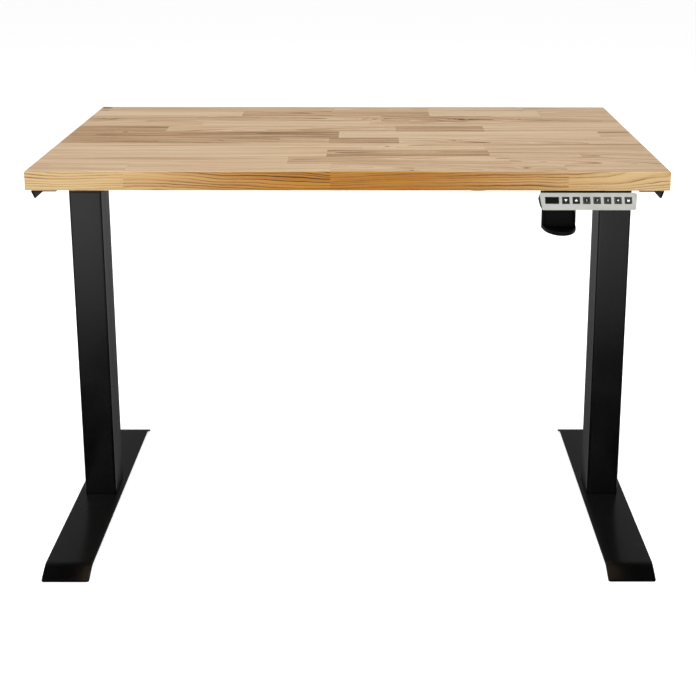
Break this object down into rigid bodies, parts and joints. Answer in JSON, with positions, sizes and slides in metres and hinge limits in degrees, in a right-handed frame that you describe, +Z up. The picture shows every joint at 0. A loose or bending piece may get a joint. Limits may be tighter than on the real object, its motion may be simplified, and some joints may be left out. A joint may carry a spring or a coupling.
{
  "type": "height adjustable standing desk",
  "caption": "Electric sit-stand desk: rectangular oak stave top on two black lifting columns with bent flat-bar feet, a front handset with keys and a hook.",
  "frame": {"origin": "on the floor, at the centre of the whole desk's bounding box", "axes": "+Z up, +X to the right of a person who sits at the desk, -Y towards that person"},
  "size_m": [1.1, 0.768, 0.735],
  "materials": {
    "oak": "clear matt oiled oak staves, finger-width strips glued side by side",
    "black_powder_coat": "fine-textured satin black powder coat",
    "black_plastic": "fine-grained moulded plastic, slightly glossy",
    "glide_plastic": "moulded glide pad",
    "nylon": "dry sliding nylon",
    "zinc_steel": "bright zinc plate",
    "bronze": "machined bronze",
    "silver_bezel": "satin silver",
    "display_window": "smoked window",
    "key_plastic": "soft-touch key caps",
    "circuit_board": "green solder mask",
    "cable_sheath": "matt PVC sheath"
  },
  "bodies": {
    "base": {"foot_left": "black_powder_coat", "foot_right": "black_powder_coat", "outer_tube_left": "black_powder_coat", "outer_tube_right": "black_powder_coat", "column_base_plate_left": "zinc_steel", "column_base_plate_right": "zinc_steel", "column_collar_left": "nylon", "column_collar_right": "nylon", "nut_post_left": "zinc_steel", "nut_post_right": "zinc_steel", "lifting_nut_left": "bronze", "lifting_nut_right": "bronze", "foot_bolt_left_1": "zinc_steel", "foot_bolt_left_2": "zinc_steel", "foot_bolt_right_1": "zinc_steel", "foot_bolt_right_2": "zinc_steel"},
    "lifting_frame": {"worktop": "oak", "side_bracket_left": "black_powder_coat", "side_bracket_right": "black_powder_coat", "bracket_screw_left_1": "zinc_steel", "bracket_screw_left_2": "zinc_steel", "bracket_screw_right_1": "zinc_steel", "bracket_screw_right_2": "zinc_steel", "front_rail": "black_powder_coat", "rear_rail": "black_powder_coat", "gearbox_left": "black_powder_coat", "gearbox_right": "black_powder_coat", "motor_left": "zinc_steel", "motor_right": "zinc_steel", "inner_tube_left": "black_powder_coat", "inner_tube_right": "black_powder_coat", "inner_tube_bush_left": "nylon", "inner_tube_bush_right": "nylon", "control_box": "black_plastic", "mains_inlet": "black_plastic", "handset_housing": "black_plastic", "handset_bezel": "silver_bezel", "handset_board": "circuit_board", "display_window": "display_window", "bag_hook": "black_plastic", "motor_lead_left": "cable_sheath", "motor_lead_right": "cable_sheath", "handset_lead": "cable_sheath"},
    "screw_left": {"spindle_left": "zinc_steel", "worm_wheel_left": "bronze"},
    "screw_right": {"spindle_right": "zinc_steel", "worm_wheel_right": "bronze"},
    "key_down": {"key_down": "key_plastic"},
    "key_up": {"key_up": "key_plastic"},
    "key_memory_1": {"key_memory_1": "key_plastic"},
    "key_memory_2": {"key_memory_2": "key_plastic"},
    "key_memory_3": {"key_memory_3": "key_plastic"},
    "key_memory_4": {"key_memory_4": "key_plastic"},
    "key_lock": {"key_lock": "key_plastic"},
    "glide_front_left": {"glide_front_left": "glide_plastic"},
    "glide_front_right": {"glide_front_right": "glide_plastic"},
    "glide_rear_left": {"glide_rear_left": "glide_plastic"},
    "glide_rear_right": {"glide_rear_right": "glide_plastic"}
  },
  "joints": [
    {"name": "desk_lift", "type": "slide", "parent": "base", "child": "lifting_frame", "axis": [0, 0, 1], "range_m": [0, 0.48]},
    {"name": "screw_turn_left", "type": "hinge", "parent": "lifting_frame", "child": "screw_left", "pos_m": [-0.505, -0.016, 0.67], "axis": [0, 0, 1], "range_deg": [0, 10800]},
    {"name": "screw_turn_right", "type": "hinge", "parent": "lifting_frame", "child": "screw_right", "pos_m": [0.505, -0.016, 0.67], "axis": [0, 0, 1], "range_deg": [0, 10800]},
    {"name": "key_press_down", "type": "slide", "parent": "lifting_frame", "child": "key_down", "axis": [0, 0.8387, -0.5446], "range_m": [0, 0.0008], "stiffness_N_per_m": 300},
    {"name": "key_press_up", "type": "slide", "parent": "lifting_frame", "child": "key_up", "axis": [0, 0.8387, -0.5446], "range_m": [0, 0.0008], "stiffness_N_per_m": 300},
    {"name": "key_press_memory_1", "type": "slide", "parent": "lifting_frame", "child": "key_memory_1", "axis": [0, 0.8387, -0.5446], "range_m": [0, 0.0008], "stiffness_N_per_m": 300},
    {"name": "key_press_memory_2", "type": "slide", "parent": "lifting_frame", "child": "key_memory_2", "axis": [0, 0.8387, -0.5446], "range_m": [0, 0.0008], "stiffness_N_per_m": 300},
    {"name": "key_press_memory_3", "type": "slide", "parent": "lifting_frame", "child": "key_memory_3", "axis": [0, 0.8387, -0.5446], "range_m": [0, 0.0008], "stiffness_N_per_m": 300},
    {"name": "key_press_memory_4", "type": "slide", "parent": "lifting_frame", "child": "key_memory_4", "axis": [0, 0.8387, -0.5446], "range_m": [0, 0.0008], "stiffness_N_per_m": 300},
    {"name": "key_press_lock", "type": "slide", "parent": "lifting_frame", "child": "key_lock", "axis": [0, 0.8387, -0.5446], "range_m": [0, 0.0008], "stiffness_N_per_m": 300},
    {"name": "glide_adjust_front_left", "type": "slide", "parent": "base", "child": "glide_front_left", "axis": [0, 0, -1], "range_m": [0, 0.005]},
    {"name": "glide_adjust_front_right", "type": "slide", "parent": "base", "child": "glide_front_right", "axis": [0, 0, -1], "range_m": [0, 0.005]},
    {"name": "glide_adjust_rear_left", "type": "slide", "parent": "base", "child": "glide_rear_left", "axis": [0, 0, -1], "range_m": [0, 0.005]},
    {"name": "glide_adjust_rear_right", "type": "slide", "parent": "base", "child": "glide_rear_right", "axis": [0, 0, -1], "range_m": [0, 0.005]}
  ],
  "couplings": [
    {"joint": "screw_turn_left", "follows": "desk_lift", "rad_per_m": 392.69},
    {"joint": "screw_turn_right", "follows": "desk_lift", "rad_per_m": 392.69}
  ]
}
